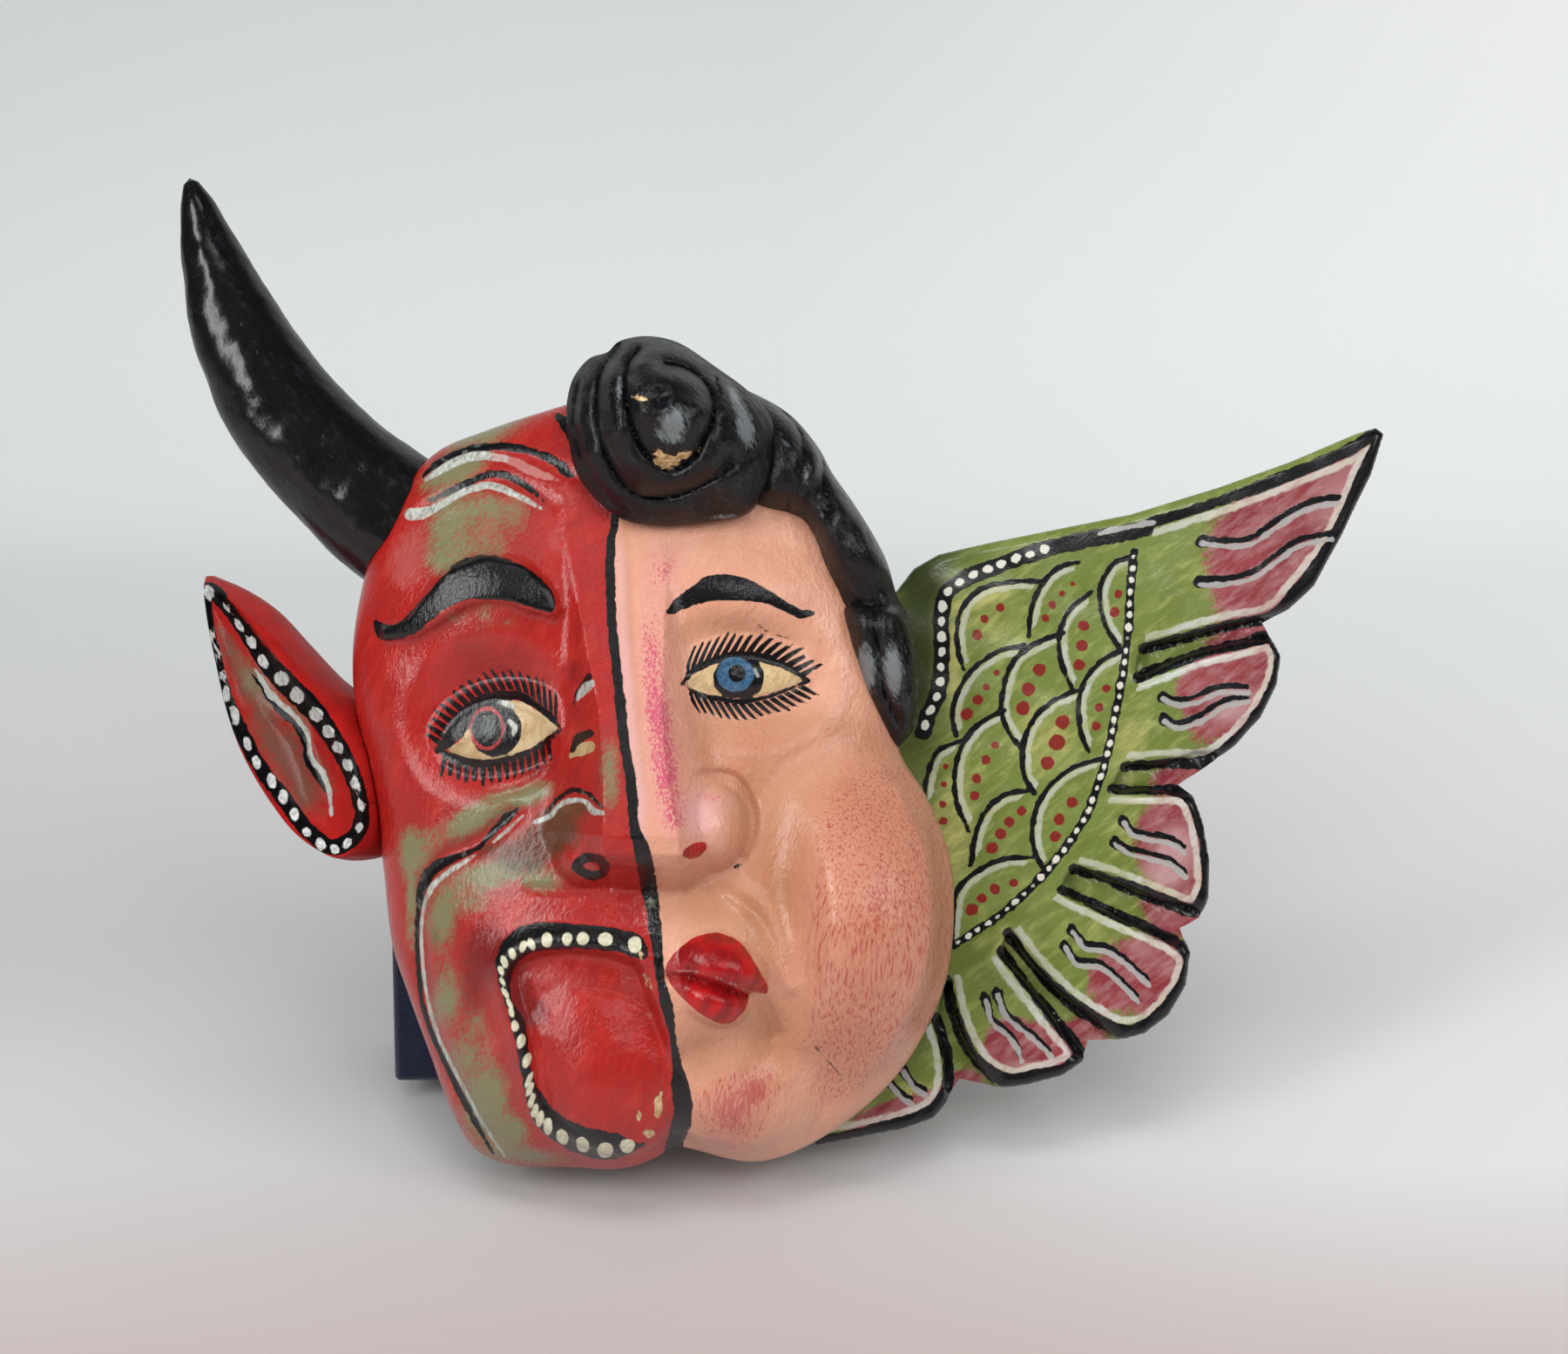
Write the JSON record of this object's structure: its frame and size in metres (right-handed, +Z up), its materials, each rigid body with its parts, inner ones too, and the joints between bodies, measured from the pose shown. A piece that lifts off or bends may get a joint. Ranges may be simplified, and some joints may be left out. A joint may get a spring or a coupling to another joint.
{
  "type": "carved mask on stand",
  "caption": "Carved, painted wooden mask, half horned devil and half winged cherub, hollow behind, leaning back on a cloth-covered block stand.",
  "frame": {"origin": "on the floor under the middle of the whole object's box", "axes": "+Z up, the face looks towards -Y, the horn and ear are on the -X side and the wing on the +X side"},
  "size_m": [0.352, 0.1306, 0.2778],
  "materials": {
    "painted_face": "gloss enamel paint, red on the devil's half and flesh pink on the cherub's",
    "black_paint": "gloss black enamel paint",
    "painted_ear": "gloss enamel paint, red with a muddy brown bowl and a dotted black band",
    "painted_wing": "gloss enamel paint, green fading to brownish red at the feather ends",
    "stand_cloth": "dark navy napped cloth"
  },
  "bodies": {
    "root": {"face": "painted_face", "horn": "black_paint", "ear": "painted_ear", "wing": "painted_wing", "stand": "stand_cloth"}
  },
  "joints": []
}
